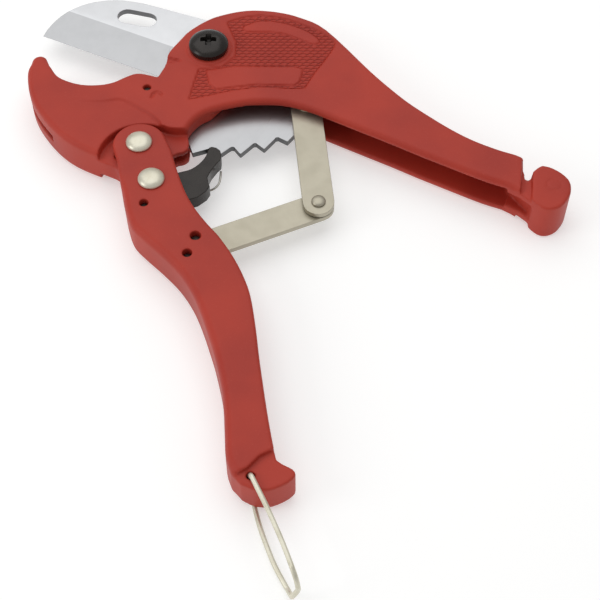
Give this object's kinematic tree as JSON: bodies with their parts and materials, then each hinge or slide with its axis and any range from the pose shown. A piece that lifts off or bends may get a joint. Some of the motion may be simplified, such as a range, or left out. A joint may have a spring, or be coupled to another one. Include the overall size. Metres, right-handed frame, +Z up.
{
  "type": "ratcheting pipe cutter",
  "caption": "One-hand ratcheting cutter for plastic pipe: hooked jaw, pivoting blade, pawl, knee linkage, channel handles and a wire bail that locks them.",
  "frame": {"origin": "middle of the box's underside: the tool lies on the far faces of its castings at Z = 0", "axes": "+Y from the handles' ends towards the jaw, +X towards the fixed handle's end, +Z up through the side with the screw's head; every joint turns about Z"},
  "size_m": [0.1936, 0.244, 0.0213],
  "materials": {
    "red_paint": "satin enamel over a die casting",
    "ground_steel": "ground flat, with a ground bevel",
    "nickel": "bright nickel plate",
    "black_oxide": "black oxide, lightly oiled",
    "plain_steel": "plain turned steel",
    "spring_steel": "drawn spring wire"
  },
  "bodies": {
    "frame": {"frame_casting": "red_paint", "pivot_screw": "black_oxide", "pivot_washer": "black_oxide", "pivot_bush": "plain_steel", "pivot_nut_washer": "plain_steel", "pivot_lock_nut": "plain_steel", "blade_stop_pin": "plain_steel", "handle_bush": "plain_steel"},
    "handle": {"moving_handle": "red_paint", "handle_pivot_rivet": "nickel", "pawl_pivot_rivet": "nickel", "pawl_spring_peg": "spring_steel", "lower_link_pin": "plain_steel", "link_spacer": "plain_steel", "opening_spring": "spring_steel", "spring_anchor_pin": "plain_steel"},
    "pawl": {"ratchet_pawl": "black_oxide", "pawl_spring": "spring_steel"},
    "blade": {"blade": "ground_steel", "blade_link_rivet": "nickel"},
    "upper_link": {"upper_link": "nickel", "knee_rivet": "nickel"},
    "lower_link": {"lower_link": "nickel"},
    "bail": {"lock_bail": "spring_steel"}
  },
  "joints": [
    {"name": "handle_squeeze", "type": "hinge", "parent": "frame", "child": "handle", "pos_m": [-0.05332, 0.0428, 0.008], "axis": [0, 0, 1], "range_deg": [0, 51.5], "stiffness_Nm_per_rad": 0.3},
    {"name": "blade_swing", "type": "hinge", "parent": "frame", "child": "blade", "pos_m": [-0.03042, 0.0887, 0.008], "axis": [0, 0, 1], "range_deg": [0, 21.9]},
    {"name": "pawl_turn", "type": "hinge", "parent": "handle", "child": "pawl", "pos_m": [-0.04802, 0.0261, 0.008], "axis": [0, 0, 1], "range_deg": [-70.1, 0]},
    {"name": "upper_link_turn", "type": "hinge", "parent": "blade", "child": "upper_link", "pos_m": [0.00558, 0.0637, 0.008], "axis": [0, 0, 1], "range_deg": [0, 6.2]},
    {"name": "lower_link_turn", "type": "hinge", "parent": "upper_link", "child": "lower_link", "pos_m": [0.00978, 0.0199, 0.008], "axis": [0, 0, 1], "range_deg": [-41.8, 0]},
    {"name": "bail_swing", "type": "hinge", "parent": "handle", "child": "bail", "pos_m": [-0.0114, -0.0869, 0.008], "axis": [0, 0, 1], "range_deg": [-60, 92]}
  ],
  "couplings": [
    {"joint": "blade_swing", "follows": "handle_squeeze", "ratio": 0.425},
    {"joint": "pawl_turn", "follows": "handle_squeeze", "ratio": -1.36},
    {"joint": "upper_link_turn", "follows": "handle_squeeze", "ratio": 0.12},
    {"joint": "lower_link_turn", "follows": "handle_squeeze", "ratio": -0.81}
  ]
}
